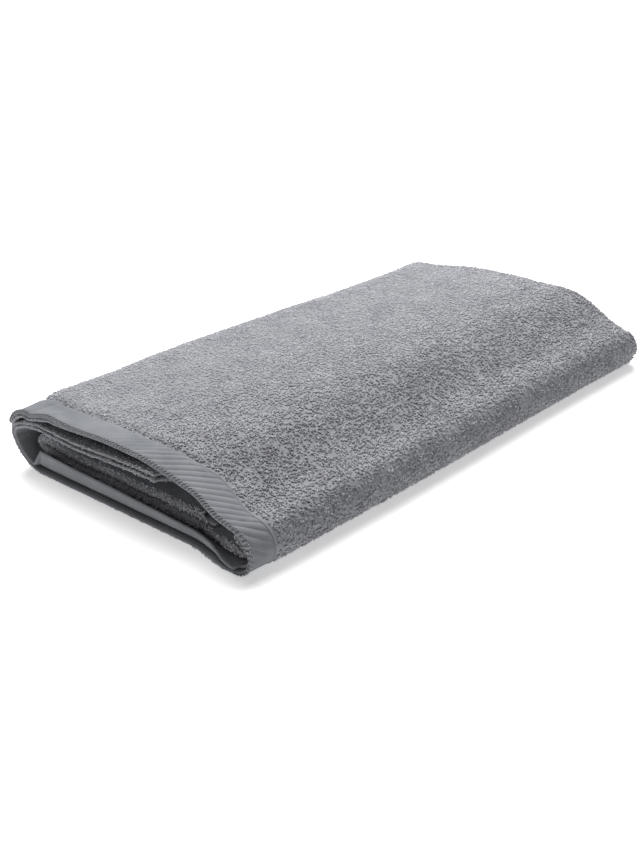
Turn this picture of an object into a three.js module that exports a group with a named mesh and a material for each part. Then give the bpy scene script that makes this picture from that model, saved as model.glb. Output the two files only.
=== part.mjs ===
// A folded pool towel: one length of terry cloth with a flat ribbed border woven in at each end.
// It is folded in quarters along its length, which makes a pack of four layers, and the pack is
// folded in thirds across: the left third goes over the middle, then the right third over both.
// Millimetres, +Z up, X across the folded towel, Y along it, the hems at the near end (-Y).
// The origin is at the middle of the towel's footprint, on the surface that it lies on.
import * as THREE from "three";

// Cloth
const TERRY_THICKNESS = 2.8; // pile on both faces included
const BORDER_THICKNESS = 2.4; // the flat ribbed border at each hem
const LAYER_PITCH = 3.8; // from one layer to the next in the folded pack
const HEM_PITCH = 2.7; // the two hems of a pack lie closer together
const LOOSE_HEM_PITCH = 3.8; // and a little further apart in the left third

// Folded towel
const TOTAL_WIDTH = 249;
const TOTAL_LENGTH = 485;
const LEFT_THIRD_SHORTFALL = 4; // the wrapped third ends a little short of the middle one
const SETTLED_Y = 46; // this far behind the hems the layers have settled into the pack

// Wraps, as seen from the near end: radius of the outermost layer's middle line
const LAYERS_IN_PACK = 4;
const WRAP_RADIUS = ((2 * LAYERS_IN_PACK - 1) * LAYER_PITCH) / 2;
const LEFT_WRAP_X = -TOTAL_WIDTH / 2 + WRAP_RADIUS + TERRY_THICKNESS / 2;
const RIGHT_WRAP_X = TOTAL_WIDTH / 2 - WRAP_RADIUS - TERRY_THICKNESS / 2;
const BOTTOM_Z = TERRY_THICKNESS / 2;
const WRAP_Z = BOTTOM_Z + WRAP_RADIUS;
const MIDDLE_Z = BOTTOM_Z + 2 * WRAP_RADIUS; // the left third's top, and the right third's at its wrap
const TOP_Z = MIDDLE_Z + LAYERS_IN_PACK * LAYER_PITCH;

// Free ends of the two thirds
const LEFT_THIRD_END_X = 36; // selvedge of the outermost layer, under the right third
const SELVEDGE_STEP = 13; // each layer further in reaches this much further
// The right third comes down from the top to the right wrap, at the hem in a straighter slope
const SLOPE_END_X = 29;
const SETTLED_SLOPE = { footX: 99, topX: 29, straightness: 0 };
const HEM_SLOPE = { footX: 109, topX: 14, straightness: 0.55 };
const DROOP_START_X = -82; // and its free end starts down over the left wrap here
const BODY_DROOP_ANGLE = 28; // degrees

// Hems at the near end, middle line of the outer one
const HEM_BOTTOM_Z = BORDER_THICKNESS / 2;
const HEM_TOP_Z = 48.2;
const HEM_RIGHT_WRAP = { x: RIGHT_WRAP_X, z: 16.5, radius: 15.3, from: -90, to: 90 };
const HEM_TIP = { x: -113.4, z: 24.2, radius: 8.4, from: 112, to: 205 };
const HEM_UNDERCUT = { x: -90.6, z: 35, radius: 33.8, from: 205, to: 270 };
const HEM_DROOP = { x: -107.2, z: 25.1, radius: 18, from: 74, to: 149 };
// The left third's outer hem stands up off the pack, higher towards its free end
const LIFTED_HEM = [
  { x: 30, z: 40.2 },
  { x: 14, z: 40.4 },
  { x: -10, z: 39.4 },
  { x: -38, z: 38.4 },
  { x: -68, z: 38.6 },
  { x: -92, z: 38.4 },
  { x: -106, z: 36.4 },
];
// The inner hem's last few millimetres stand up along the bottom, in front of the inner fold
const TURNED_HEM = { rootY: 8, leftLength: 17, rightLength: 8, radius: 4.5, angle: 82 };
const TURNED_SPAN = { fromX: -106, fullX: -92, fadeX: 78, toX: RIGHT_WRAP_X };

// How far the pack's inner fold lies behind its hems. It lies deepest under the top.
const FOLD_RECESS = { leftThird: 13, leftWrap: 11, middle: 12, rightWrap: 9, rightThird: 9 };
const LEFT_RECESS_X = -60;
const RIGHT_RECESS_X = 0;
const TOP_RECESS = { depth: 48, fromX: 36, toX: 108 };
// In the left wrap the inner fold lies further in and higher than the pack behind it
const INNER_FOLD_LIFT = { x: 9.8, z: 3, fromX: -60, toX: -108, endY: 60 };

// The three cross folds, in turn along the cloth. Depths are counted in layers: 0 is the pack's
// outermost, which ends in the outer hem, 1 ends in the inner hem, and the inner fold joins 3 and 2.
const OUTER_FAR_FOLD = { anchor: "far", from: 0, to: 3, side: 1, steps: 6 };
const INNER_FOLD = { anchor: "recess", from: 3, to: 2, side: -1, steps: 4 };
const INNER_FAR_FOLD = { anchor: "far", from: 2, to: 1, side: 1, steps: 4 };

// Outline from above, and the lie of the top
const FAR_CORNER_DROP = 32; // the far end curves back this much at its corners
const FAR_CORNER_POWER = 3.2;
const RIGHT_HEM = { fromX: 60, toX: 104, inset: 3, reach: 7, lean: 0.1 };
const LEFT_WAIST = { fromX: -60, toX: -110, depth: 5, fromY: 170, toY: 330 };
const RIGHT_WAIST = { fromX: 60, toX: 105, depth: -4, fromY: 120, toY: 400 };
const FAR_LEFT_SINK = { fromX: 60, toX: -90, share: 0.1, fromY: 130, toY: 430 };
const SEAM_DIP = { fromX: 60, toX: 30, depth: 1, y: 37, spread: 9 }; // where border meets terry

// Steps of the mesh
const THIRD_STEPS = LIFTED_HEM.length - 1;
const WRAP_STEPS = 10;
const TIP_STEPS = 5;
const MIDDLE_STEPS = 8;
const SLOPE_STEPS = 6;
const TOP_STEPS = 5;
const DROOP_STEPS = 5;
const HEM_ROWS_Y = [0, 3, 6, 9, 14, 24, 36, 48];
const FREE_ROW_Y = 60; // from here the layers run straight to the far end
const FAR_ROW_SHARES = [0.33, 0.66];

const COLOUR = "#8f949b";
const ROUGHNESS = 0.95;

const FLAT_LIMIT = 0.05; // what comes this close to the surface lies flat on it
const Y_SHIFT = (RIGHT_HEM.reach - TOTAL_LENGTH) / 2; // brings the origin to the footprint's middle

function lerp(a, b, share) {
  return a + (b - a) * share;
}

function ramp(value, from, to) {
  return THREE.MathUtils.clamp((value - from) / (to - from), 0, 1);
}

function smooth(value, from, to) {
  const share = ramp(value, from, to);
  return share * share * (3 - 2 * share);
}

function steps(count, pointAt) {
  return Array.from({ length: count + 1 }, (_, i) => pointAt(i / count));
}

function arc(circle, count) {
  return steps(count, (share) => {
    const angle = THREE.MathUtils.degToRad(lerp(circle.from, circle.to, share));
    return {
      x: circle.x + circle.radius * Math.cos(angle),
      z: circle.z + circle.radius * Math.sin(angle),
    };
  });
}

function line(start, end, count) {
  return steps(count, (share) => ({ x: lerp(start.x, end.x, share), z: lerp(start.z, end.z, share) }));
}

// The top of the right third, from its wrap up the slope and on to where the free end starts down
function rightTop(slope, startX, footZ, topZ) {
  const { footX, topX, straightness } = slope;
  const pointAt = (x) => {
    const share = lerp(smooth(x, footX, topX), ramp(x, footX, topX), straightness);
    return { x, z: lerp(footZ, topZ, share) };
  };
  const up = steps(SLOPE_STEPS, (share) => pointAt(lerp(startX, SLOPE_END_X, share)));
  const across = steps(TOP_STEPS, (share) => pointAt(lerp(SLOPE_END_X, DROOP_START_X, share)));
  return [...up, ...across.slice(1)];
}

// A section line runs from the left third's selvedge round the left wrap, under the towel, round the
// right wrap and back over the top to the right third's selvedge.
// Neighbouring stretches share a point.
function joinStretches(stretches) {
  const names = Object.keys(stretches);
  return names.flatMap((name, i) =>
    stretches[name].slice(i === 0 ? 0 : 1).map((point) => ({ ...point, stretch: name })),
  );
}

function settledLine() {
  const leftTop = { x: LEFT_WRAP_X, z: MIDDLE_Z };
  const wrap = { z: WRAP_Z, radius: WRAP_RADIUS };
  const droop = { x: LEFT_WRAP_X, z: WRAP_Z, radius: TOP_Z - WRAP_Z, from: 90, to: 90 + BODY_DROOP_ANGLE };
  return joinStretches({
    leftThird: line({ x: LEFT_THIRD_END_X, z: MIDDLE_Z }, leftTop, THIRD_STEPS),
    leftWrap: arc({ ...wrap, x: LEFT_WRAP_X, from: 90, to: 270 }, WRAP_STEPS),
    middle: line({ x: LEFT_WRAP_X, z: BOTTOM_Z }, { x: RIGHT_WRAP_X, z: BOTTOM_Z }, MIDDLE_STEPS),
    rightWrap: arc({ ...wrap, x: RIGHT_WRAP_X, from: -90, to: 90 }, WRAP_STEPS),
    rightThird: [...rightTop(SETTLED_SLOPE, RIGHT_WRAP_X, MIDDLE_Z, TOP_Z), ...arc(droop, DROOP_STEPS)],
  });
}

function hemLine() {
  const undercut = arc(HEM_UNDERCUT, WRAP_STEPS - TIP_STEPS);
  const tip = arc(HEM_TIP, TIP_STEPS);
  const wrapTopZ = HEM_RIGHT_WRAP.z + HEM_RIGHT_WRAP.radius;
  const bottomRight = { x: HEM_RIGHT_WRAP.x, z: HEM_BOTTOM_Z };
  const top = rightTop(HEM_SLOPE, HEM_RIGHT_WRAP.x, wrapTopZ, HEM_TOP_Z);
  return joinStretches({
    leftThird: LIFTED_HEM,
    leftWrap: [...tip.slice(0, -1), ...undercut],
    middle: line({ x: HEM_UNDERCUT.x, z: HEM_BOTTOM_Z }, bottomRight, MIDDLE_STEPS),
    rightWrap: arc(HEM_RIGHT_WRAP, WRAP_STEPS),
    rightThird: [...top, ...arc(HEM_DROOP, DROOP_STEPS)],
  });
}

const SETTLED = settledLine();
const HEM = hemLine();

// 1 at the left third's free edge, 0 at its wrap and beyond
function freeShare(station) {
  return Math.max(1 - station / THIRD_STEPS, 0);
}

function recess(station) {
  const { x, stretch } = SETTLED[station];
  const depth = FOLD_RECESS[stretch];
  if (stretch === "rightThird") {
    return lerp(TOP_RECESS.depth, depth, ramp(x, TOP_RECESS.fromX, TOP_RECESS.toX));
  }
  const towardsLeft = lerp(depth, FOLD_RECESS.leftWrap, smooth(x, LEFT_RECESS_X, LEFT_WRAP_X));
  return lerp(towardsLeft, FOLD_RECESS.rightWrap, smooth(x, RIGHT_RECESS_X, RIGHT_WRAP_X));
}

// Middle of the far folds: all the layers of a station turn round it
function farFoldY(station) {
  const { x } = SETTLED[station];
  const outerRadius = ((LAYERS_IN_PACK - 1) * LAYER_PITCH + TERRY_THICKNESS) / 2;
  const flatX = THREE.MathUtils.clamp(x, LEFT_WRAP_X, RIGHT_WRAP_X); // one value all round a wrap
  const corner = FAR_CORNER_DROP * Math.abs((2 * flatX) / TOTAL_WIDTH) ** FAR_CORNER_POWER;
  return TOTAL_LENGTH - outerRadius - corner - LEFT_THIRD_SHORTFALL * freeShare(station);
}

// The rows of the cloth in turn, from the outer hem to the inner one
function clothRows() {
  const hemRows = (depth) => HEM_ROWS_Y.map((y) => ({ depth, y }));
  const freeRow = (depth) => ({ depth, y: FREE_ROW_Y });
  const farRows = (depth) => FAR_ROW_SHARES.map((share) => ({ depth, farShare: share }));
  const turn = (fold) =>
    steps(fold.steps, (share) => ({
      anchor: fold.anchor,
      depth: lerp(fold.from, fold.to, (1 - Math.cos(Math.PI * share)) / 2),
      ahead: (fold.side * Math.abs(fold.to - fold.from) * LAYER_PITCH * Math.sin(Math.PI * share)) / 2,
    }));
  const outward = (depth) => [freeRow(depth), ...farRows(depth)];
  const back = (depth) => outward(depth).reverse();
  return [
    ...hemRows(0),
    ...outward(OUTER_FAR_FOLD.from),
    ...turn(OUTER_FAR_FOLD),
    ...back(INNER_FOLD.from),
    ...turn(INNER_FOLD),
    ...outward(INNER_FAR_FOLD.from),
    ...turn(INNER_FAR_FOLD),
    ...back(INNER_FAR_FOLD.to),
    ...hemRows(1).reverse(),
  ];
}

function rowY(row, station) {
  if (row.anchor === "far") return farFoldY(station) + row.ahead;
  if (row.anchor === "recess") {
    return recess(station) + (LAYER_PITCH + TERRY_THICKNESS) / 2 + row.ahead;
  }
  if (row.farShare) return lerp(FREE_ROW_Y, farFoldY(station), row.farShare);
  return row.y;
}

function linePoint(station, settled) {
  const point = SETTLED[station];
  const hem = HEM[station];
  return new THREE.Vector2(lerp(hem.x, point.x, settled), lerp(hem.z, point.z, settled));
}

function turnedShare(station) {
  const { x, z, stretch } = HEM[station];
  const { fromX, fullX, fadeX, toX } = TURNED_SPAN;
  const isUnderside = stretch === "middle" || (stretch === "leftWrap" && z < HEM_TIP.z);
  return isUnderside ? smooth(x, fromX, fullX) * smooth(x, toX, fadeX) : 0;
}

// Where a point of the inner hem comes to when its edge turns up: forward from the root, and up
function turnUp(y, station) {
  const { rootY, leftLength, rightLength, radius, angle } = TURNED_HEM;
  const share = turnedShare(station);
  const length = lerp(leftLength, rightLength, ramp(HEM[station].x, LEFT_WRAP_X, RIGHT_WRAP_X));
  const fromRoot = (rootY - y) * lerp(1, length / rootY, share);
  const bend = Math.min(fromRoot / radius, THREE.MathUtils.degToRad(angle) * share);
  const straight = fromRoot - radius * bend;
  return {
    y: rootY - radius * Math.sin(bend) - straight * Math.cos(bend),
    rise: radius * (1 - Math.cos(bend)) + straight * Math.sin(bend),
  };
}

function innerFoldLift(point, depth) {
  if (depth <= 1) return new THREE.Vector3();
  const { x, z, fromX, toX, endY } = INNER_FOLD_LIFT;
  const share = smooth(point.x, fromX, toX) * (1 - smooth(point.y, 0, endY));
  return new THREE.Vector3(share * x, 0, share * z);
}

// One point of the cloth's middle surface, before the towel's unevenness
function foldedPoint(row, station) {
  const y = rowY(row, station);
  const isHem = row.depth <= 1 && !row.anchor;
  const settled = isHem ? smooth(y, 0, SETTLED_Y) : 1;
  const here = linePoint(station, settled);
  const before = linePoint(Math.max(station - 1, 0), settled);
  const after = linePoint(Math.min(station + 1, SETTLED.length - 1), settled);
  const inward = after.sub(before).normalize().rotateAround(new THREE.Vector2(), Math.PI / 2);
  const hemPitch = lerp(HEM_PITCH, LOOSE_HEM_PITCH, freeShare(station));
  const inset = row.depth * lerp(hemPitch, LAYER_PITCH, settled);
  const selvedge = SELVEDGE_STEP * row.depth * freeShare(station) * settled;
  const isTurned = row.depth === 1 && y < TURNED_HEM.rootY;
  const turned = isTurned ? turnUp(y, station) : { y, rise: 0 };
  const offset = inward.multiplyScalar(inset + turned.rise);
  const point = new THREE.Vector3(here.x + offset.x + selvedge, turned.y, here.y + offset.y);
  return point.add(innerFoldLift(point, row.depth));
}

function rightHemShare(x, y) {
  return smooth(x, RIGHT_HEM.fromX, RIGHT_HEM.toX) * (1 - smooth(y, 0, SETTLED_Y));
}

// Each side draws in a little towards the far end
function drawnIn(side, x, y) {
  return side.depth * smooth(x, side.fromX, side.toX) * smooth(y, side.fromY, side.toY);
}

// The towel's own unevenness, laid over the even fold
function uneven(point, isTopHem) {
  const { x, y, z } = point;
  const rightHem = rightHemShare(x, y);
  const waist = drawnIn(LEFT_WAIST, x, y) + drawnIn(RIGHT_WAIST, x, y);
  const sink =
    FAR_LEFT_SINK.share *
    smooth(x, FAR_LEFT_SINK.fromX, FAR_LEFT_SINK.toX) *
    smooth(y, FAR_LEFT_SINK.fromY, FAR_LEFT_SINK.toY);
  const dip = isTopHem
    ? SEAM_DIP.depth *
      smooth(x, SEAM_DIP.fromX, SEAM_DIP.toX) *
      Math.exp(-(((y - SEAM_DIP.y) / SEAM_DIP.spread) ** 2))
    : 0;
  return new THREE.Vector3(
    x - rightHem * (RIGHT_HEM.inset + RIGHT_HEM.lean * (z - WRAP_Z)) + waist,
    y - rightHem * RIGHT_HEM.reach,
    z * (1 - sink) - dip,
  );
}

function middleSurface() {
  return clothRows().map((row) =>
    SETTLED.map(({ stretch }, station) => {
      const point = foldedPoint(row, station);
      const isHem = row.depth <= 1 && !row.anchor;
      const settled = isHem ? smooth(point.y, 0, SETTLED_Y) : 1;
      return {
        place: uneven(point, isHem && stretch === "rightThird"),
        halfThickness: lerp(BORDER_THICKNESS, TERRY_THICKNESS, settled) / 2,
      };
    }),
  );
}

// Normal of the grid at one point, on the side of the outermost layer's outer face
function gridNormal(grid, row, column) {
  const place = (r, c) => grid[r][c].place;
  const lastRow = grid.length - 1;
  const lastColumn = grid[0].length - 1;
  const along = place(Math.min(row + 1, lastRow), column).clone();
  along.sub(place(Math.max(row - 1, 0), column));
  const across = place(row, Math.min(column + 1, lastColumn)).clone();
  across.sub(place(row, Math.max(column - 1, 0)));
  return along.cross(across).normalize();
}

function seated(point) {
  return point.z < FLAT_LIMIT ? point.setZ(0) : point;
}

function quad(a, b, c, d) {
  return [a, b, c, a, c, d];
}

// Both faces of the cloth and the four edges between them, as one closed solid
function clothGeometry() {
  const grid = middleSurface();
  const rows = grid.length;
  const columns = grid[0].length;
  const faces = [1, -1].flatMap((side) =>
    grid.flatMap((row, r) =>
      row.map(({ place, halfThickness }, c) =>
        seated(place.clone().addScaledVector(gridNormal(grid, r, c), side * halfThickness)),
      ),
    ),
  );
  const outer = (r, c) => r * columns + c;
  const inner = (r, c) => rows * columns + outer(r, c);
  const indices = [];
  for (let r = 0; r < rows - 1; r += 1) {
    for (let c = 0; c < columns - 1; c += 1) {
      indices.push(...quad(outer(r, c), outer(r + 1, c), outer(r + 1, c + 1), outer(r, c + 1)));
      indices.push(...quad(inner(r, c), inner(r, c + 1), inner(r + 1, c + 1), inner(r + 1, c)));
    }
    indices.push(...quad(outer(r, 0), inner(r, 0), inner(r + 1, 0), outer(r + 1, 0)));
    const last = columns - 1;
    indices.push(...quad(outer(r, last), outer(r + 1, last), inner(r + 1, last), inner(r, last)));
  }
  for (let c = 0; c < columns - 1; c += 1) {
    indices.push(...quad(outer(0, c), outer(0, c + 1), inner(0, c + 1), inner(0, c)));
    const last = rows - 1;
    indices.push(...quad(outer(last, c), inner(last, c), inner(last, c + 1), outer(last, c + 1)));
  }
  const geometry = new THREE.BufferGeometry().setFromPoints(faces);
  geometry.setIndex(indices);
  geometry.translate(0, Y_SHIFT, 0);
  geometry.computeVertexNormals();
  return geometry;
}

const terry = new THREE.MeshStandardMaterial({ color: COLOUR, roughness: ROUGHNESS, metalness: 0 });
const towel = new THREE.Mesh(clothGeometry(), terry);
towel.name = "towel";

const object = new THREE.Group();
object.add(towel);

export default object;
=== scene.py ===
import math

import bpy
import numpy as np
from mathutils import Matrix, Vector


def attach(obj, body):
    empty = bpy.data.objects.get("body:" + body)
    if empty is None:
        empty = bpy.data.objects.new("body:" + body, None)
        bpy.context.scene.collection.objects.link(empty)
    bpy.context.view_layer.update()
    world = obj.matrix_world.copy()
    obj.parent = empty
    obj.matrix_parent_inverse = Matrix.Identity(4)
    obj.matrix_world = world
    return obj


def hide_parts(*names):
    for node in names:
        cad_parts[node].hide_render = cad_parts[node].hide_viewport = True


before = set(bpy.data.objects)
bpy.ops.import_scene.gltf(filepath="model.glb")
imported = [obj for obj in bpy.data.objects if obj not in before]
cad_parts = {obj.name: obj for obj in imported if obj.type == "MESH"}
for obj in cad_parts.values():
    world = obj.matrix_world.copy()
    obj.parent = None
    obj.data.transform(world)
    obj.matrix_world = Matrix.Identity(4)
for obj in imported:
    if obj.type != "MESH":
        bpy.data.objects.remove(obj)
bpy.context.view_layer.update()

# The towel's cloth is one length of cotton terry, hemmed at both ends. It is folded in quarters
# along its length, which makes a pack of four layers, and the pack is folded in thirds across.
# It was folded and patted down by hand, so the layers lie a little apart and uneven.
MM = 0.001  # sizes are in millimetres, and become metres where a mesh is made
TERRY_THICKNESS = 2.8
BORDER_THICKNESS = 2.4
LAYER_PITCH = 3.8
HEM_PITCH = 2.7
LOOSE_HEM_PITCH = 4.2
TOTAL_WIDTH = 249.0
TOTAL_LENGTH = 485.0
LEFT_THIRD_SHORTFALL = 4.0
SETTLED_Y = 46.0  # this far behind the hems the pack lies as flat as it does elsewhere
LAYERS = 4

WRAP_RADIUS = (2 * LAYERS - 1) * LAYER_PITCH / 2
LEFT_WRAP_X = -TOTAL_WIDTH / 2 + WRAP_RADIUS + TERRY_THICKNESS / 2
RIGHT_WRAP_X = -LEFT_WRAP_X
BOTTOM_Z = TERRY_THICKNESS / 2
WRAP_Z = BOTTOM_Z + WRAP_RADIUS
MIDDLE_Z = BOTTOM_Z + 2 * WRAP_RADIUS
TOP_Z = MIDDLE_Z + LAYERS * LAYER_PITCH

# The settled pack: the left third's free end, the slope down to the right wrap, the free end.
LEFT_THIRD_END_X = 36.0
SELVEDGE_STEP = 13.0
SLOPE_END_X = 29.0
SETTLED_SLOPE = dict(foot_x=99.0, top_x=29.0, straightness=0.0)
HEM_SLOPE = dict(foot_x=112.0, top_x=14.0, straightness=0.85)
DROOP_START_X = -82.0
SETTLED_DROOP = 28.0
DROOP_ARC_STEPS = 12

# The near end, seen from the front: round at the right wrap, slack and pointed at the left.
HEM_BOTTOM_Z = BORDER_THICKNESS / 2
HEM_TOP_Z = 48.2
HEM_RIGHT_WRAP = dict(x=RIGHT_WRAP_X, z=16.5, radius=15.3, start=-90, end=90)
HEM_TIP = dict(x=-113.8, z=24.4, radius=8.6, start=112, end=205)
HEM_UNDERCUT = dict(x=-90.6, z=35.0, radius=33.8, start=205, end=270)
HEM_DROOP = dict(x=-107.2, z=25.1, radius=18.0, start=74, end=159)
LIFTED_HEM = [  # x, z of the left third's outer hem
    (30.0, 40.2),
    (14.0, 40.4),
    (-10.0, 39.4),
    (-38.0, 38.4),
    (-68.0, 38.6),
    (-92.0, 38.4),
    (-106.0, 36.4),
]
# The inner hem's edge stands up in front of the pack, and on the right third it lies further in.
TURNED_HEM = dict(root_y=8.0, left_length=17.0, right_length=8.0, radius=4.5, angle=82.0)
TURNED_SPAN = dict(start_x=-100.0, full_x=-95.5, fade_x=78.0, end_x=RIGHT_WRAP_X)
INNER_HEM_BACK = dict(distance=4.5, fade_y=20.0, start_x=-90.0, end_x=-40.0)

# How far behind the hems the two inner folds lie, and how they sag or lift near the end.
FOLD_RECESS = dict(left_third=12.0, left_wrap=11.0, middle=10.0, right_wrap=8.0, right_third=8.0)
LEFT_RECESS_X = -60.0
RIGHT_RECESS_X = 0.0
TOP_RECESS = dict(depth=48.0, start_x=36.0, end_x=108.0)
INNER_FOLD_SINK = dict(share=0.17, floor_z=5.4, start_x=108.0, end_x=80.0, end_y=60.0)
INNER_FOLD_LIFT = dict(x=9.8, z=3.0, start_x=-60.0, end_x=-108.0)

# What the hands left uneven: round far corners, waists in the long sides, dips and soft waves.
FAR_CORNER_DROP = 32.0
FAR_CORNER_POWER = 3.2
RIGHT_HEM = dict(start_x=60.0, end_x=104.0, inset=3.0, reach=7.0, lean=0.1)
LEFT_WAIST = dict(start_x=-60.0, end_x=-110.0, depth=5.0, start_y=170.0, end_y=330.0)
RIGHT_WAIST = dict(start_x=60.0, end_x=105.0, depth=-4.0, start_y=120.0, end_y=400.0)
FAR_LEFT_SINK = dict(start_x=60.0, end_x=-90.0, share=0.10, start_y=130.0, end_y=430.0)
SEAM_DIP = dict(start_x=60.0, end_x=30.0, depth=3.0, y=30.5, spread=3.4)
SOFT_WAVES = [  # height share, wavelength across, wavelength along, phase
    (0.012, 190.0, 330.0, 0.4),
    (0.010, 97.0, 143.0, 2.1),
    (0.007, 61.0, 83.0, 4.0),
]
FLAT_BELOW_Z = BOTTOM_Z + 1  # the bottom layer lies flat on the table

Y_SHIFT = (RIGHT_HEM["reach"] - TOTAL_LENGTH) / 2

# How finely the cloth is laid out: stations round the pack, rows from its hem to its hem.
STRETCH_STEPS = dict(left_third=60, left_wrap=26, middle=60, right_wrap=30, slope=34, top=44, droop=16)
TIP_SHARE = 0.45
HEM_ROWS_Y = [
    0.0, 0.35, 0.9, 1.7, 3.0, 4.4, 5.6, 6.8, 8.0, 9.2, 12.0, 16.0,
    20.0, 24.0, 27.0, 29.0, 31.0, 33.0, 36.0, 40.0, 45.0, 50.0, 56.0,
]
FREE_ROW_Y = 62.0
FAR_ROW_SHARES = [0.08, 0.18, 0.3, 0.44, 0.58, 0.7, 0.82, 0.92]
OUTER_FAR_FOLD = dict(anchor="far", start=0, end=3, side=1, steps=14)
INNER_FOLD = dict(anchor="recess", start=3, end=2, side=-1, steps=8)
INNER_FAR_FOLD = dict(anchor="far", start=2, end=1, side=1, steps=8)
EDGE_ROUNDING = 1.3
THINNEST_EDGE = 0.2


def lerp(a, b, share):
    return a + (b - a) * share


def ramp(value, start, end):
    return np.clip((value - start) / (end - start), 0.0, 1.0)


def smooth(value, start, end):
    share = ramp(value, start, end)
    return share * share * (3 - 2 * share)


def arc(circle, steps):
    angle = np.radians(np.linspace(circle["start"], circle["end"], steps + 1))
    x = circle["x"] + circle["radius"] * np.cos(angle)
    z = circle["z"] + circle["radius"] * np.sin(angle)
    return np.column_stack([x, z])


def line(start, end, steps):
    share = np.linspace(0.0, 1.0, steps + 1)[:, None]
    return np.array(start) * (1 - share) + np.array(end) * share


def right_top(slope, start_x, foot_z, top_z):
    """The right third's top, from its wrap up the slope and on to where the free end starts down."""
    up = np.linspace(start_x, SLOPE_END_X, STRETCH_STEPS["slope"] + 1)
    across = np.linspace(SLOPE_END_X, DROOP_START_X, STRETCH_STEPS["top"] + 1)
    x = np.concatenate([up, across[1:]])
    soft = smooth(x, slope["foot_x"], slope["top_x"])
    straight = ramp(x, slope["foot_x"], slope["top_x"])
    return np.column_stack([x, lerp(foot_z, top_z, lerp(soft, straight, slope["straightness"]))])


def spread_evenly(points, steps):
    """The same line with its points at even distances along it."""
    length = np.concatenate([[0.0], np.cumsum(np.linalg.norm(np.diff(points, axis=0), axis=1))])
    at = np.linspace(0.0, length[-1], steps + 1)
    return np.column_stack([np.interp(at, length, points[:, k]) for k in range(2)])


def join_stretches(stretches):
    """One line out of several that meet, and the name of the stretch at each of its points."""
    parts = [points if i == 0 else points[1:] for i, points in enumerate(stretches.values())]
    names = [name for name, part in zip(stretches, parts) for _ in part]
    return np.vstack(parts), np.array(names)


def right_third(top_points, droop_points):
    droop = np.vstack([top_points[-1:], droop_points])
    droop = spread_evenly(droop, STRETCH_STEPS["droop"])
    return np.vstack([top_points, droop[1:]])


def settled_line():
    """The outermost layer round the settled pack, as x and z from the left third's free end."""
    wrap = dict(z=WRAP_Z, radius=WRAP_RADIUS)
    droop = dict(x=LEFT_WRAP_X, z=WRAP_Z, radius=TOP_Z - WRAP_Z, start=90, end=90 + SETTLED_DROOP)
    left_top = (LEFT_WRAP_X, MIDDLE_Z)
    top = right_top(SETTLED_SLOPE, RIGHT_WRAP_X, MIDDLE_Z, TOP_Z)
    steps = STRETCH_STEPS
    return join_stretches(dict(
        left_third=line((LEFT_THIRD_END_X, MIDDLE_Z), left_top, steps["left_third"]),
        left_wrap=arc(dict(wrap, x=LEFT_WRAP_X, start=90, end=270), steps["left_wrap"]),
        middle=line((LEFT_WRAP_X, BOTTOM_Z), (RIGHT_WRAP_X, BOTTOM_Z), steps["middle"]),
        right_wrap=arc(dict(wrap, x=RIGHT_WRAP_X, start=-90, end=90), steps["right_wrap"]),
        right_third=right_third(top, arc(droop, DROOP_ARC_STEPS)),
    ))


def hem_line():
    """The outer hem round the near end, point for point beside the settled line."""
    wrap_top_z = HEM_RIGHT_WRAP["z"] + HEM_RIGHT_WRAP["radius"]
    tip_steps = round(STRETCH_STEPS["left_wrap"] * TIP_SHARE)
    tip = arc(HEM_TIP, tip_steps)
    undercut = arc(HEM_UNDERCUT, STRETCH_STEPS["left_wrap"] - tip_steps)
    lifted = np.vstack([LIFTED_HEM, tip[:1]])
    lifted = spread_evenly(lifted, STRETCH_STEPS["left_third"])
    bottom_right = (HEM_RIGHT_WRAP["x"], HEM_BOTTOM_Z)
    wrap = np.vstack([tip[:-1], undercut])
    top = right_top(HEM_SLOPE, HEM_RIGHT_WRAP["x"], wrap_top_z, HEM_TOP_Z)
    return join_stretches(dict(
        left_third=lifted,
        left_wrap=wrap,
        middle=line((HEM_UNDERCUT["x"], HEM_BOTTOM_Z), bottom_right, STRETCH_STEPS["middle"]),
        right_wrap=arc(HEM_RIGHT_WRAP, STRETCH_STEPS["right_wrap"]),
        right_third=right_third(top, arc(HEM_DROOP, DROOP_ARC_STEPS)),
    ))[0]


settled_points, stretch_names = settled_line()
hem_points = hem_line()
stations = len(settled_points)
free_share = np.clip(1 - np.arange(stations) / STRETCH_STEPS["left_third"], 0.0, 1.0)


def recess_of_stations():
    x = settled_points[:, 0]
    depth = np.array([FOLD_RECESS[name] for name in stretch_names])
    left = lerp(depth, FOLD_RECESS["left_wrap"], smooth(x, LEFT_RECESS_X, LEFT_WRAP_X))
    across = lerp(left, FOLD_RECESS["right_wrap"], smooth(x, RIGHT_RECESS_X, RIGHT_WRAP_X))
    top = lerp(TOP_RECESS["depth"], depth, ramp(x, TOP_RECESS["start_x"], TOP_RECESS["end_x"]))
    return np.where(stretch_names == "right_third", top, across)


def far_fold_of_stations():
    flat_x = np.clip(settled_points[:, 0], LEFT_WRAP_X, RIGHT_WRAP_X)
    outer_radius = ((LAYERS - 1) * LAYER_PITCH + TERRY_THICKNESS) / 2
    corner = FAR_CORNER_DROP * np.abs(2 * flat_x / TOTAL_WIDTH) ** FAR_CORNER_POWER
    return TOTAL_LENGTH - outer_radius - corner - LEFT_THIRD_SHORTFALL * free_share


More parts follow.
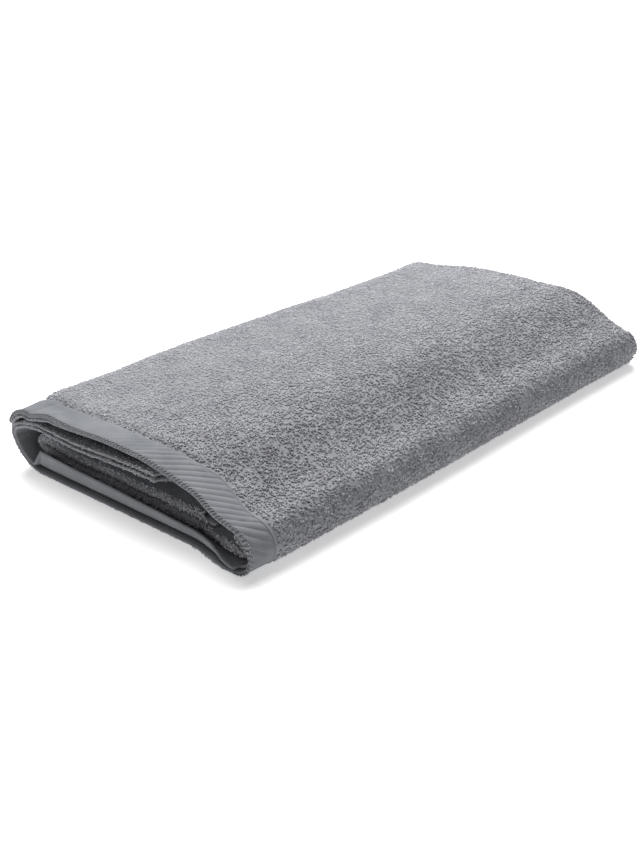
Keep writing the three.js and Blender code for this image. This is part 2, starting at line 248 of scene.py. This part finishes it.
is_underside = (stretch_names == "left_wrap") & (hem_points[:, 1] < HEM_TIP["z"])
turned_share = np.where(
    is_underside | (stretch_names == "middle"),
    smooth(hem_points[:, 0], TURNED_SPAN["start_x"], TURNED_SPAN["full_x"])
    * smooth(hem_points[:, 0], TURNED_SPAN["end_x"], TURNED_SPAN["fade_x"]),
    0.0,
)
inner_hem_back = (
    INNER_HEM_BACK["distance"]
    * smooth(hem_points[:, 0], INNER_HEM_BACK["start_x"], INNER_HEM_BACK["end_x"])
    * np.isin(stretch_names, ("right_wrap", "right_third"))
)
recess_y = recess_of_stations()
far_fold_y = far_fold_of_stations()


def cloth_rows():
    """The rows of the cloth from hem to hem, each with its depth in the pack: 0 is outermost."""
    def hems(depth):
        return [dict(depth=depth, y=y, hem=True) for y in HEM_ROWS_Y]

    def outward(depth):
        free = [dict(depth=depth, y=FREE_ROW_Y)]
        return free + [dict(depth=depth, share=share) for share in FAR_ROW_SHARES]

    def turn(fold):
        span = abs(fold["end"] - fold["start"]) * LAYER_PITCH / 2
        angles = np.linspace(0.0, math.pi, fold["steps"] + 1)
        return [
            dict(
                anchor=fold["anchor"],
                depth=lerp(fold["start"], fold["end"], (1 - math.cos(angle)) / 2),
                ahead=fold["side"] * span * math.sin(angle),
            )
            for angle in angles
        ]

    return (
        hems(0) + outward(0) + turn(OUTER_FAR_FOLD)
        + outward(3)[::-1] + turn(INNER_FOLD) + outward(2)
        + turn(INNER_FAR_FOLD) + outward(1)[::-1] + hems(1)[::-1]
    )


def row_y(row):
    if row.get("anchor") == "far":
        return far_fold_y + row["ahead"]
    if row.get("anchor") == "recess":
        return recess_y + (LAYER_PITCH + TERRY_THICKNESS) / 2 + row["ahead"]
    if "share" in row:
        return lerp(FREE_ROW_Y, far_fold_y, row["share"])
    return np.full(stations, row["y"])


def turn_up(y, share):
    """Where the inner hem's edge comes to when it stands up: its y, and how far it rises."""
    radius = TURNED_HEM["radius"]
    root_y = TURNED_HEM["root_y"]
    across = ramp(hem_points[:, 0], LEFT_WRAP_X, RIGHT_WRAP_X)
    length = lerp(TURNED_HEM["left_length"], TURNED_HEM["right_length"], across)
    from_root = (root_y - y) * lerp(1.0, length / root_y, share)
    bend = np.minimum(from_root / radius, math.radians(TURNED_HEM["angle"]) * share)
    straight = from_root - radius * bend
    new_y = root_y - radius * np.sin(bend) - straight * np.cos(bend)
    return new_y, radius * (1 - np.cos(bend)) + straight * np.sin(bend)


def inner_fold_shift(x, y, z):
    """How far the inner folds are pushed right and up at the left tip, and sag elsewhere."""
    near = 1 - smooth(y, 0.0, INNER_FOLD_SINK["end_y"])
    left = near * smooth(x, INNER_FOLD_LIFT["start_x"], INNER_FOLD_LIFT["end_x"])
    across = smooth(x, INNER_FOLD_SINK["start_x"], INNER_FOLD_SINK["end_x"])
    sink = (near - left) * across * INNER_FOLD_SINK["share"] * (z - INNER_FOLD_SINK["floor_z"])
    return left * INNER_FOLD_LIFT["x"], left * INNER_FOLD_LIFT["z"] - sink


def folded_row(row):
    """One row of the cloth's middle surface, and how far it has settled into the pack."""
    y = row_y(row)
    is_hem = row["depth"] <= 1 and "anchor" not in row
    settled = smooth(y, 0.0, SETTLED_Y) if is_hem else np.ones(stations)
    points = lerp(hem_points, settled_points, settled[:, None])
    along = np.gradient(points, axis=0)
    along /= np.linalg.norm(along, axis=1)[:, None]
    inward = np.column_stack([-along[:, 1], along[:, 0]])
    hem_pitch = lerp(HEM_PITCH, LOOSE_HEM_PITCH, smooth(free_share, 0.0, 0.5))
    inset = row["depth"] * lerp(hem_pitch, LAYER_PITCH, settled)
    selvedge = SELVEDGE_STEP * row["depth"] * free_share * settled
    is_inner_hem = is_hem and row["depth"] == 1
    if is_inner_hem and row.get("y", TURNED_HEM["root_y"]) < TURNED_HEM["root_y"]:
        y, rise = turn_up(y, turned_share)
        inset = inset + rise
    if is_inner_hem:
        y = y + inner_hem_back * (1 - smooth(y, 0.0, INNER_HEM_BACK["fade_y"]))
    x = points[:, 0] + inward[:, 0] * inset + selvedge
    z = points[:, 1] + inward[:, 1] * inset
    if row["depth"] > 1:
        shift_x, shift_z = inner_fold_shift(x, y, z)
        x, z = x + shift_x, z + shift_z
    return np.column_stack([x, y, z]), settled, is_hem


def uneven(points, is_top_hem):
    """The towel's own unevenness, laid over the even fold."""
    x, y, z = points.T
    right_hem = smooth(x, RIGHT_HEM["start_x"], RIGHT_HEM["end_x"]) * (1 - smooth(y, 0.0, SETTLED_Y))
    waist = sum(
        side["depth"] * smooth(x, side["start_x"], side["end_x"]) * smooth(y, side["start_y"], side["end_y"])
        for side in (LEFT_WAIST, RIGHT_WAIST)
    )
    sink = (
        FAR_LEFT_SINK["share"]
        * smooth(x, FAR_LEFT_SINK["start_x"], FAR_LEFT_SINK["end_x"])
        * smooth(y, FAR_LEFT_SINK["start_y"], FAR_LEFT_SINK["end_y"])
    )
    dip = (
        SEAM_DIP["depth"]
        * smooth(x, SEAM_DIP["start_x"], SEAM_DIP["end_x"])
        * np.exp(-(((y - SEAM_DIP["y"]) / SEAM_DIP["spread"]) ** 2))
        * is_top_hem
    )
    height = 1.0 - sink
    for share, across, along, phase in SOFT_WAVES:
        height = height + share * np.sin(2 * math.pi * (x / across + y / along) + phase)
    new_x = x - right_hem * (RIGHT_HEM["inset"] + RIGHT_HEM["lean"] * (z - WRAP_Z)) + waist
    new_y = y - right_hem * RIGHT_HEM["reach"]
    new_z = np.where(z > FLAT_BELOW_Z, z * height, z) - dip
    return np.column_stack([new_x, new_y + Y_SHIFT, new_z])


def cloth_surface():
    """The cloth's middle surface as rows by stations, and half its thickness at each place."""
    places, halves = [], []
    for row in cloth_rows():
        points, settled, is_hem = folded_row(row)
        is_top_hem = np.where(stretch_names == "right_third", 1.0, 0.0) if is_hem else 0.0
        half = lerp(BORDER_THICKNESS, TERRY_THICKNESS, settled) / 2
        if row.get("hem"):
            edge = min(row["y"] / EDGE_ROUNDING, 1.0)
            half = half * max(math.sqrt(1 - (1 - edge) ** 2), THINNEST_EDGE)
        places.append(uneven(points, is_top_hem))
        halves.append(half)
    return np.array(places), np.array(halves)


surface, half_thickness = cloth_surface()
along_rows = np.gradient(surface, axis=0)
along_stations = np.gradient(surface, axis=1)
surface_normal = np.cross(along_rows, along_stations)
surface_normal /= np.linalg.norm(surface_normal, axis=2)[:, :, None]
outer_face = surface + surface_normal * half_thickness[:, :, None]
inner_face = surface - surface_normal * half_thickness[:, :, None]
rows = len(surface)


def mesh_object(name, points, faces):
    """A smooth-shaded piece in metres, with nothing below the surface that it lies on."""
    points = points.reshape(-1, 3)
    points[:, 2] = np.maximum(points[:, 2], 0.0)
    mesh = bpy.data.meshes.new(name)
    mesh.from_pydata(points * MM, [], faces)
    mesh.polygons.foreach_set("use_smooth", [True] * len(mesh.polygons))
    piece = bpy.data.objects.new(name, mesh)
    bpy.context.scene.collection.objects.link(piece)
    return piece


def sheet_object(name, upper, lower):
    """A closed sheet out of its two faces, each a grid of places, with its four edges."""
    index = np.arange(upper.shape[0] * upper.shape[1]).reshape(upper.shape[:2])
    top, low = index, index + index.size
    quads = np.vstack([
        np.stack([top[:-1, :-1], top[1:, :-1], top[1:, 1:], top[:-1, 1:]], -1).reshape(-1, 4),
        np.stack([low[:-1, :-1], low[:-1, 1:], low[1:, 1:], low[1:, :-1]], -1).reshape(-1, 4),
        np.stack([top[:-1, 0], low[:-1, 0], low[1:, 0], top[1:, 0]], -1),
        np.stack([top[:-1, -1], top[1:, -1], low[1:, -1], low[:-1, -1]], -1),
        np.stack([top[0, :-1], top[0, 1:], low[0, 1:], low[0, :-1]], -1),
        np.stack([top[-1, :-1], low[-1, :-1], low[-1, 1:], top[-1, 1:]], -1),
    ])
    return mesh_object(name, np.array([upper, lower]), quads)


towel = sheet_object("towel_cloth", outer_face, inner_face)

PATCH_SIZE = 38.0  # mottled patches, in pieces to the metre
PATCH_DETAIL = 5.0
PATCH_ROUGHNESS = 0.62
PATCH_EDGES = (0.32, 0.7)
GRAIN_DETAIL = 3.0
GRAIN_TONES = (0.75, 1.2)
GRAIN_STRENGTH = 0.6
COTTON_ROUGHNESS = 0.95
COTTON_SHINE = 0.2
COTTON_SHEEN = 0.12
SHEEN_ROUGHNESS = 0.6


def cotton(name, dark, light, grain_scale, grain_depth, yarn_tone_and_painted_shade=False):
    """Matt cotton: soft patches of two greys over a fine grain, in Object coordinates."""
    made = bpy.data.materials.new(name)
    made.use_nodes = True
    nodes = made.node_tree.nodes
    links = made.node_tree.links
    shader = nodes["Principled BSDF"]
    shader.inputs["Roughness"].default_value = COTTON_ROUGHNESS
    shader.inputs["Specular IOR Level"].default_value = COTTON_SHINE
    shader.inputs["Sheen Weight"].default_value = COTTON_SHEEN
    shader.inputs["Sheen Roughness"].default_value = SHEEN_ROUGHNESS
    place = nodes.new("ShaderNodeTexCoord")
    patches = nodes.new("ShaderNodeTexNoise")
    patches.inputs["Scale"].default_value = PATCH_SIZE
    patches.inputs["Detail"].default_value = PATCH_DETAIL
    patches.inputs["Roughness"].default_value = PATCH_ROUGHNESS
    greys = nodes.new("ShaderNodeValToRGB")
    for element, position, grey in zip(greys.color_ramp.elements, PATCH_EDGES, (dark, light)):
        element.position = position
        element.color = (*grey, 1)
    grain = nodes.new("ShaderNodeTexNoise")
    grain.inputs["Scale"].default_value = grain_scale
    grain.inputs["Detail"].default_value = GRAIN_DETAIL
    bump = nodes.new("ShaderNodeBump")
    bump.inputs["Strength"].default_value = GRAIN_STRENGTH
    bump.inputs["Distance"].default_value = grain_depth
    links.new(place.outputs["Object"], patches.inputs["Vector"])
    links.new(place.outputs["Object"], grain.inputs["Vector"])
    links.new(patches.outputs["Fac"], greys.inputs["Fac"])
    links.new(grain.outputs["Fac"], bump.inputs["Height"])
    links.new(bump.outputs["Normal"], shader.inputs["Normal"])
    shade = nodes.new("ShaderNodeMix")
    shade.data_type = "RGBA"
    shade.blend_type = "MULTIPLY"
    shade.inputs["Factor"].default_value = 1.0
    links.new(greys.outputs["Color"], shade.inputs["A"])
    if yarn_tone_and_painted_shade:
        own = nodes.new("ShaderNodeAttribute")
        own.attribute_name = "yarn_tone_and_painted_shade"
        links.new(own.outputs["Color"], shade.inputs["B"])
    else:
        tone = nodes.new("ShaderNodeMapRange")
        tone.inputs["To Min"].default_value = GRAIN_TONES[0]
        tone.inputs["To Max"].default_value = GRAIN_TONES[1]
        links.new(grain.outputs["Fac"], tone.inputs["Value"])
        links.new(tone.outputs["Result"], shade.inputs["B"])
    links.new(shade.outputs["Result"], shader.inputs["Base Color"])
    return made


# The ground cloth has the towel's own grey, made darker than the pile's yarn as painted shade for the gaps
# between the loops.
GROUND_DARK = (0.25, 0.255, 0.275)
GROUND_LIGHT = (0.31, 0.315, 0.335)
GROUND_GRAIN = dict(grain_scale=900.0, grain_depth=0.0006)
ground_cloth = cotton("terry_ground", GROUND_DARK, GROUND_LIGHT, **GROUND_GRAIN)
towel.data.materials.append(ground_cloth)

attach(towel, "root")
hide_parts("towel")

# The pile is thousands of small loops of soft cotton yarn that stand up from the ground cloth on
# both faces. They are woven in with it, and lean and crowd in every direction.
YARN_RADIUS = 0.6
LOOP_WIDTH = (1.4, 2.3)
LOOP_HEIGHT = (0.8, 1.6)
LOOP_LEAN = 0.55
LOOP_ROOT = 0.35  # how deep the loop's feet sit in the ground cloth
LOOP_RINGS = 3
YARN_SIDES = 3
LOOP_SPACING = 1.8
PILE_START_Y = 16.0  # the first row of cloth that can hold pile
PILE_EDGE = dict(y=31.0, right_y=18.6, start_x=60.0, end_x=104.0)  # the border ends here
FLAT_PILE = dict(start_x=-90.0, end_x=95.0, share=0.5)  # patted flatter towards the left
# Each loop's yarn tone is random up to the lightest value. Its lowest value falls from left to right, which
# is painted shade for the side of the pack away from the lamp.
YARN_SHADE = dict(flat=0.84, upright_and_shaded=0.62, lightest=1.06)
PILE_DARK = (0.46, 0.46, 0.50)
PILE_LIGHT = (0.60, 0.605, 0.635)
PILE_GRAIN = dict(grain_scale=1500.0, grain_depth=0.0002)
PILE_SEED = 71

pile_random = np.random.default_rng(PILE_SEED)
pile_yarn = cotton("terry_pile", PILE_DARK, PILE_LIGHT, yarn_tone_and_painted_shade=True, **PILE_GRAIN)


def scatter(face, row_span, station_span, spacing):
    """Random places all over a patch of the cloth, with its normal and its run at each."""
    r0, r1 = row_span
    c0, c1 = station_span
    patch = face[r0:r1, c0:c1]
    side_normal = (surface_normal if face is outer_face else -surface_normal)[r0:r1, c0:c1]
    edge_a = patch[1:, :-1] - patch[:-1, :-1]
    edge_b = patch[:-1, 1:] - patch[:-1, :-1]
    area = np.linalg.norm(np.cross(edge_a, edge_b), axis=2)
    count = int(area.sum() / spacing**2)
    cell = pile_random.choice(area.size, size=count, p=area.ravel() / area.sum())
    row, column = np.divmod(cell, area.shape[1])
    u, v = pile_random.random((2, count, 1))
    lower = patch[row, column] * (1 - v) + patch[row, column + 1] * v
    upper = patch[row + 1, column] * (1 - v) + patch[row + 1, column + 1] * v
    normal = side_normal[row, column]
    run = edge_b[row, column] / np.linalg.norm(edge_b[row, column], axis=1)[:, None]
    return lower * (1 - u) + upper * u, normal, run


def beyond_border(places, normals, runs):
    """The places that lie on the pile's side of the border's seam."""
    x, y = places[:, 0], places[:, 1] - Y_SHIFT
    edge = lerp(PILE_EDGE["y"], PILE_EDGE["right_y"], smooth(x, PILE_EDGE["start_x"], PILE_EDGE["end_x"]))
    kept = y > edge
    return places[kept], normals[kept], runs[kept]


def arches_object(name, places, normals, along, across, width, height, lean, radius):
    """Short arched tubes of yarn, one at each place, with both feet in the cloth."""
    rings = []
    for k in range(LOOP_RINGS):
        angle = math.pi * k / (LOOP_RINGS - 1)
        centre = (
            places
            - along * width / 2 * math.cos(angle)
            + normals * (height * math.sin(angle) - LOOP_ROOT)
            + across * lean * math.sin(angle)
        )
        outward = -along * math.cos(angle) + normals * math.sin(angle)
        for side in range(YARN_SIDES):
            around = 2 * math.pi * side / YARN_SIDES
            rings.append(centre + (outward * math.cos(around) + across * math.sin(around)) * radius)
    points = np.stack(rings, axis=1)
    count, per_tube = points.shape[:2]
    triangles = [(0, 2, 1), (per_tube - 3, per_tube - 2, per_tube - 1)]
    for k in range(LOOP_RINGS - 1):
        for side in range(YARN_SIDES):
            a = k * YARN_SIDES + side
            b = k * YARN_SIDES + (side + 1) % YARN_SIDES
            triangles.append((a, b, b + YARN_SIDES))
            triangles.append((a, b + YARN_SIDES, a + YARN_SIDES))
    faces = (np.arange(count)[:, None, None] * per_tube + np.array(triangles)[None]).reshape(-1, 3)
    return mesh_object(name, points, faces)


def loops_object(name, places, normals, runs, size=1.0):
    """One piece of pile: small loops turned every way, each with a random tone of its own, and painted shade
    that darkens the loops towards the right.
    """
    count = len(places)
    turn = pile_random.random((count, 1)) * 2 * math.pi
    along = runs * np.cos(turn) + np.cross(normals, runs) * np.sin(turn)
    across = np.cross(normals, along)
    width = pile_random.uniform(*LOOP_WIDTH, (count, 1)) * size
    upright_and_shaded = smooth(places[:, :1], FLAT_PILE["start_x"], FLAT_PILE["end_x"])
    height = pile_random.uniform(*LOOP_HEIGHT, (count, 1)) * size * lerp(FLAT_PILE["share"], 1.0, upright_and_shaded)
    lean = pile_random.normal(0.0, LOOP_LEAN, (count, 1)) * size
    radius = YARN_RADIUS * size
    piece = arches_object(name, places, normals, along, across, width, height, lean, radius)
    # Painted shade: the loops' lowest tone sinks towards the right side, which faces away from the lamp; the
    # spread above it is the yarn's own random tone.
    lowest_tone_with_painted_shade = lerp(YARN_SHADE["flat"], YARN_SHADE["upright_and_shaded"], upright_and_shaded[:, 0])
    shade = pile_random.uniform(lowest_tone_with_painted_shade, YARN_SHADE["lightest"])
    per_loop = LOOP_RINGS * YARN_SIDES
    colours = np.ones((count * per_loop, 4))
    colours[:, :3] = np.repeat(shade, per_loop)[:, None]
    attribute = piece.data.color_attributes.new("yarn_tone_and_painted_shade", "FLOAT_COLOR", "POINT")
    attribute.data.foreach_set("color", colours.ravel())
    piece.data.materials.append(pile_yarn)
    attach(piece, "root")
    return piece


all_rows = cloth_rows()
pile_row = HEM_ROWS_Y.index(PILE_START_Y)
far_start = [i for i, row in enumerate(all_rows) if row.get("anchor") == "far"][0]
far_end = far_start + OUTER_FAR_FOLD["steps"] + 1
nose_rows = [i for i, row in enumerate(all_rows) if row.get("anchor") == "recess"]
first_station = {name: int(np.argmax(stretch_names == name)) for name in dict.fromkeys(stretch_names)}
slope_end = first_station["right_third"] + STRETCH_STEPS["slope"]
middle_row = pile_row + int(np.argmax(surface[pile_row:far_start, -1, 1] > 0.0))

PILE_PATCHES = dict(
    pile_top_near=((pile_row, middle_row + 1), (slope_end, stations)),
    pile_top_far=((middle_row, far_start + 1), (slope_end, stations)),
    pile_slope=((pile_row, far_start + 1), (first_station["right_third"] - 1, slope_end + 1)),
    pile_right=((pile_row, far_start + 1), (first_station["right_wrap"] - 1, first_station["right_third"])),
    pile_left=((pile_row, far_start + 1), (first_station["left_wrap"] - 1, first_station["middle"])),
    pile_far_end=((far_start, far_end), (0, stations)),
    pile_inner_fold=((nose_rows[0], nose_rows[-1] + 1), (0, stations)),
)
for patch_name, (row_span, station_span) in PILE_PATCHES.items():
    spots = scatter(outer_face, row_span, station_span, LOOP_SPACING)
    if row_span[0] == pile_row:
        spots = beyond_border(*spots)
    loops_object(patch_name, *spots)

# The hems that show inside the near end are fuzzy with short loose loops, down to their edges,
# and so are the rim that the towel lies on and the underside of the top hem's left corner.
FUZZ_SIZE = 0.75
FUZZ_ROWS = 11
RIM_ROWS = 5
CORNER_STATIONS = 9
third_end = first_station["left_wrap"]
first_top = first_station["right_third"]
fuzz_spots = [
    scatter(face, (row_start, row_start + FUZZ_ROWS), span, LOOP_SPACING)
    for face in (outer_face, inner_face)
    for row_start, span in (
        (rows - FUZZ_ROWS, (0, third_end)),
        (rows - FUZZ_ROWS, (slope_end, stations)),
        (0, (0, third_end)),
    )
]
fuzz_spots.append(scatter(outer_face, (0, RIM_ROWS), (third_end, first_top), LOOP_SPACING))
corner_span = (stations - CORNER_STATIONS, stations)
fuzz_spots.append(scatter(inner_face, (0, FUZZ_ROWS), corner_span, LOOP_SPACING))
fuzz = loops_object("pile_inner_hems", *[np.concatenate(group) for group in zip(*fuzz_spots)], FUZZ_SIZE)

# The border is a flat band without pile that is woven in at the hem, with raised slanting ribs.
# A sewn seam, sunk beside a soft lip, closes it off from the pile.
BORDER_WIDTH = 30.0
BORDER_NARROWING = dict(share=0.3, start_x=60.0, end_x=104.0)  # drawn forward at the right wrap
BORDER_STEP = 0.6
BORDER_LIFT = 0.12
BORDER_ROOT = 0.6
BORDER_DARK = (0.165, 0.174, 0.192)
BORDER_LIGHT = (0.245, 0.254, 0.272)
BORDER_GRAIN = dict(grain_scale=1800.0, grain_depth=0.0002)
RIB_SPACING = 6.3
RIB_SLANT = 52.0
RIB_HEIGHT = 0.85
RIB_FULLNESS = 0.6
RIB_SPAN = dict(start_y=2.5, full_y=4.5, fade_y=25.5, end_y=27.5)
RIB_FADE = dict(start_x=-30.0, end_x=34.0, faint=0.12)
RIB_END = dict(low_z=9.0, high_z=19.0)  # pressed flat where the border turns under
RIB_WAVER = dict(height=0.7, across=11.0, along=7.0, drift=23.0)
SEAM_LIP = dict(y=28.2, height=0.6, spread=0.8)
SEAM_GROOVE = dict(y=29.9, height=-0.75, spread=0.55)
EDGE_FOLD = dict(y=2.6, height=-0.3, spread=0.45)  # the stitch line of the turned hem
BAND_ROW = 8  # the hem's length is measured along this row

hem_y = np.array([row["y"] for row in all_rows[: len(HEM_ROWS_Y)]])
band_stations = slice(first_station["right_wrap"] - 1, stations)
band_base = surface[: len(hem_y), band_stations]
band_normal = surface_normal[: len(hem_y), band_stations]
band_half = half_thickness[: len(hem_y), band_stations]
band_steps = np.linalg.norm(np.diff(band_base[BAND_ROW], axis=0), axis=1)
band_run = np.concatenate([[0.0], np.cumsum(band_steps)])
run_at = np.arange(0.0, band_run[-1], BORDER_STEP)
y_at = np.arange(0.0, BORDER_WIDTH + BORDER_STEP / 2, BORDER_STEP)
band_x = np.interp(run_at, band_run, band_base[BAND_ROW, :, 0])
narrowing = smooth(band_x, BORDER_NARROWING["start_x"], BORDER_NARROWING["end_x"])
border_share = 1 - BORDER_NARROWING["share"] * narrowing


def resampled(grid):
    """A hem grid laid out again at even steps along the hem and behind it."""
    flat = grid.reshape(len(hem_y), len(band_run), -1)
    along = np.stack([
        np.stack([np.interp(run_at, band_run, flat[r, :, k]) for k in range(flat.shape[2])], axis=-1)
        for r in range(len(hem_y))
    ])
    return np.stack([
        np.stack([np.interp(y_at * width, hem_y, along[:, c, k]) for k in range(flat.shape[2])], axis=-1)
        for c, width in enumerate(border_share)
    ], axis=1)


def ridge(behind, line):
    """A soft ridge or groove that runs along the hem at a distance behind it."""
    return line["height"] * np.exp(-(((behind - line["y"]) / line["spread"]) ** 2))


base = resampled(band_base)
normal = resampled(band_normal)
normal /= np.linalg.norm(normal, axis=2)[:, :, None]
half = resampled(band_half[:, :, None])[:, :, 0]
unrolled_x, behind_hem = np.meshgrid(-run_at, y_at)
slant = math.radians(RIB_SLANT)
waver = (
    RIB_WAVER["height"]
    * np.sin(unrolled_x / RIB_WAVER["across"])
    * np.sin(behind_hem / RIB_WAVER["along"] + unrolled_x / RIB_WAVER["drift"])
)
true_distance = behind_hem * border_share[None, :]
rib_phase = (true_distance * math.cos(slant) - unrolled_x * math.sin(slant) + waver) / RIB_SPACING
rib_round = np.abs(np.sin(math.pi * rib_phase)) ** RIB_FULLNESS
rib_clear = lerp(RIB_FADE["faint"], 1.0, smooth(base[..., 0], RIB_FADE["start_x"], RIB_FADE["end_x"]))
rib_clear = rib_clear * smooth(base[..., 2], RIB_END["low_z"], RIB_END["high_z"])
ribbed = smooth(behind_hem, RIB_SPAN["start_y"], RIB_SPAN["full_y"])
ribbed = ribbed * (1 - smooth(behind_hem, RIB_SPAN["fade_y"], RIB_SPAN["end_y"]))
relief = RIB_HEIGHT * rib_clear * ribbed * (rib_round - 0.5)
for line_behind_hem in (SEAM_LIP, SEAM_GROOVE, EDGE_FOLD):
    relief = relief + ridge(behind_hem, line_behind_hem)
raised = base + normal * (half + BORDER_LIFT + relief)[:, :, None]
sunk = base + normal * (half - BORDER_ROOT)[:, :, None]
border = sheet_object("border", raised, sunk)
border_weave = cotton("border_weave", BORDER_DARK, BORDER_LIGHT, **BORDER_GRAIN)
border.data.materials.append(border_weave)
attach(border, "root")

# The hem's edge is overcast with the towel's own grey thread. The stitches are short and fat, and
# slant over the rim one after the other.
STITCH_SPACING = 3.0
STITCH_ROW = 2  # steps behind the rim
STITCH_LENGTH = 3.6
STITCH_LEAN = 0.8
STITCH_FORWARD = 0.4
STITCH_HEIGHT = 0.6
STITCH_RADIUS = 0.8


def unit(vectors):
    return vectors / np.linalg.norm(vectors, axis=1)[:, None]


stitch_columns = np.arange(0, len(run_at), round(STITCH_SPACING / BORDER_STEP))
stitch_places = raised[STITCH_ROW, stitch_columns]
stitch_normals = unit(normal[0, stitch_columns] + np.array([0.0, -STITCH_FORWARD, 0.0]))
rim_runs = raised[0, stitch_columns] - raised[0, np.maximum(stitch_columns - 1, 0)]
rim_runs[0] = rim_runs[1]
rim_runs = unit(rim_runs)
stitch_runs = unit(np.cross(stitch_normals, rim_runs) + rim_runs * STITCH_LEAN)
stitches = arches_object(
    "hem_stitches",
    stitch_places,
    stitch_normals,
    along=stitch_runs,
    across=np.cross(stitch_normals, stitch_runs),
    width=STITCH_LENGTH,
    height=STITCH_HEIGHT,
    lean=0.0,
    radius=STITCH_RADIUS,
)
stitches.data.materials.append(ground_cloth)
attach(stitches, "root")

# The towel lies on a plain white sweep, which glows a little, as in a photograph cut out on
# white. Soft light comes from all round, and one large lamp stands behind it on the left.
FLOOR_SIZE = 6.0
FLOOR_WHITE = (0.95, 0.95, 0.95, 1)
FLOOR_GLOW = 0.42
WHITE = (1, 1, 1, 1)
ROOM_STRENGTH = 0.17
LAMP_POWER = 106
LAMP_SIZE = 2.2
LAMP_PLACE = (-1.0, 0.9, 1.9)

bpy.ops.mesh.primitive_plane_add(size=FLOOR_SIZE, location=(0.0, 0.0, 0.0))
floor = bpy.context.object
floor.name = "floor"
floor_material = bpy.data.materials.new("floor_white")
floor_material.use_nodes = True
floor_shader = floor_material.node_tree.nodes["Principled BSDF"]
floor_shader.inputs["Base Color"].default_value = FLOOR_WHITE
floor_shader.inputs["Emission Color"].default_value = WHITE
floor_shader.inputs["Emission Strength"].default_value = FLOOR_GLOW
floor.data.materials.append(floor_material)

world = bpy.data.worlds.new("studio")
bpy.context.scene.world = world
world.use_nodes = True
world.node_tree.nodes["Background"].inputs["Color"].default_value = WHITE
world.node_tree.nodes["Background"].inputs["Strength"].default_value = ROOM_STRENGTH

light_data = bpy.data.lights.new("key", "AREA")
light_data.energy = LAMP_POWER
light_data.size = LAMP_SIZE
light = bpy.data.objects.new("key", light_data)
light.location = LAMP_PLACE
light.rotation_euler = (Vector((0, 0, 0)) - light.location).to_track_quat("-Z", "Y").to_euler()
bpy.context.scene.collection.objects.link(light)

bpy.context.scene.view_settings.view_transform = "Standard"

# The camera stands in front of the hems on the right and looks down on the towel.
PHOTO_HEIGHT = 854  # pixels
FOCAL_LENGTH = 1450  # pixels
SENSOR_HEIGHT = 36.0
CAMERA_PLACE = (0.6723, -0.5577, 0.4713)  # from the middle of the hems
CAMERA_DOWN = 25.121
CAMERA_TURN = 41.718

camera_data = bpy.data.cameras.new("camera")
camera_data.sensor_fit = "VERTICAL"
camera_data.sensor_height = SENSOR_HEIGHT
camera_data.lens = FOCAL_LENGTH / PHOTO_HEIGHT * SENSOR_HEIGHT
camera = bpy.data.objects.new("camera", camera_data)
camera.location = (CAMERA_PLACE[0], CAMERA_PLACE[1] + Y_SHIFT * MM, CAMERA_PLACE[2])
camera.rotation_euler = (math.radians(90 - CAMERA_DOWN), 0.0, math.radians(CAMERA_TURN))
bpy.context.scene.collection.objects.link(camera)
bpy.context.scene.camera = camera
